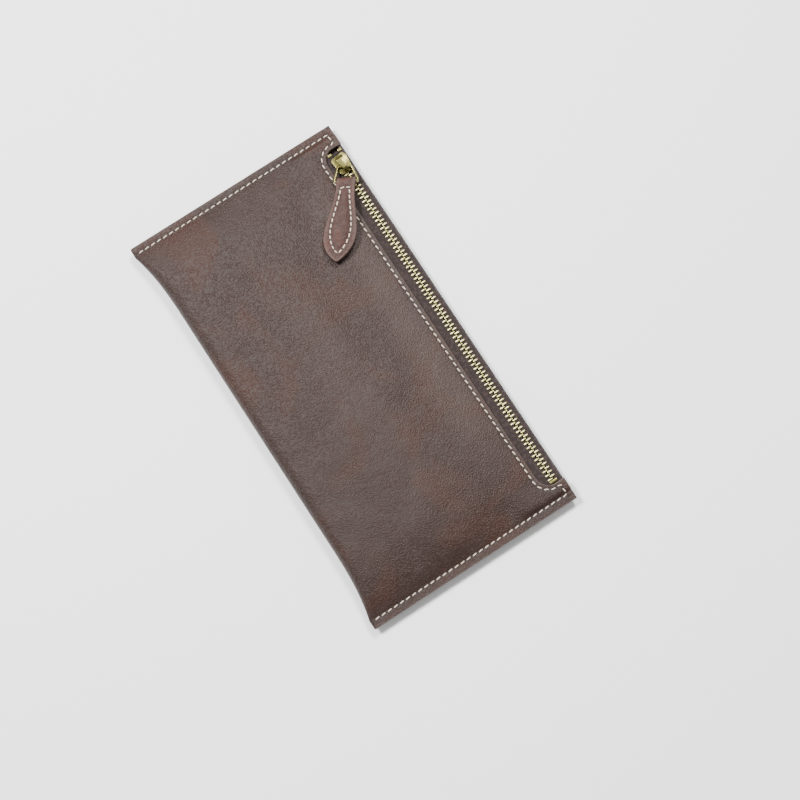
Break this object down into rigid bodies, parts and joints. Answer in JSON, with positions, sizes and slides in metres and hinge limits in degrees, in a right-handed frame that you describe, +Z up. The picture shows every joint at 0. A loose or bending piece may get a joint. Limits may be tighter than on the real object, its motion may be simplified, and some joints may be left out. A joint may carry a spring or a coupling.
{
  "type": "zippered pouch",
  "caption": "Flat folded-leather zippered pouch with a metal chain set in a window along one long edge, a slider with a wire ring, and a stitched leather pull.",
  "frame": {"origin": "middle of the pouch's footprint, on the face it lies on", "axes": "+X from the fold to the zipper edge, +Y along the zipper towards its closed end, +Z up out of the front"},
  "size_m": [0.11, 0.21, 0.0152],
  "materials": {
    "hide_leather": "semi-gloss, fine pebble grain",
    "pull_leather": "smooth, waxed",
    "core_leather": "raw, matt",
    "thread": "waxed thread",
    "zip_tape": "woven twill, matt",
    "zip_teeth": "antique, satin",
    "slider_metal": "antique, satin",
    "ring_metal": "antique, polished"
  },
  "bodies": {
    "pouch": {"hide": "hide_leather", "seam_thread": "thread", "bobbin_thread": "thread", "back_zip_thread": "thread", "front_tape": "zip_tape", "back_tape": "zip_tape", "front_tape_cord": "zip_tape", "back_tape_cord": "zip_tape", "front_teeth": "zip_teeth", "back_teeth": "zip_teeth", "front_top_stop": "zip_teeth", "back_top_stop": "zip_teeth", "bottom_stop": "zip_teeth"},
    "slider": {"slider_body": "slider_metal", "slider_bridge": "slider_metal"},
    "ring_pivot": {"ring_top_bar": "ring_metal"},
    "ring": {"pull_ring": "ring_metal"},
    "pull": {"pull_leather": "pull_leather", "pull_core": "core_leather", "pull_thread": "thread", "pull_bobbin_thread": "thread"}
  },
  "joints": [
    {"name": "slider_travel", "type": "slide", "parent": "pouch", "child": "slider", "axis": [0, -1, 0], "range_m": [0, 0.1724], "deforming": ["front_teeth", "back_teeth"]},
    {"name": "pull_swing", "type": "hinge", "parent": "slider", "child": "ring_pivot", "pos_m": [0.0501, 0.0832, 0.00925], "axis": [0, 0, 1], "range_deg": [0, 54]},
    {"name": "ring_lift", "type": "hinge", "parent": "ring_pivot", "child": "ring", "pos_m": [0.0501, 0.0832, 0.00925], "axis": [-0.891, 0.454, 0], "range_deg": [0, 90]},
    {"name": "pull_flip", "type": "hinge", "parent": "ring", "child": "pull", "pos_m": [0.04672, 0.07657, 0.01016], "axis": [-0.891, 0.454, 0], "range_deg": [0, 90]}
  ]
}
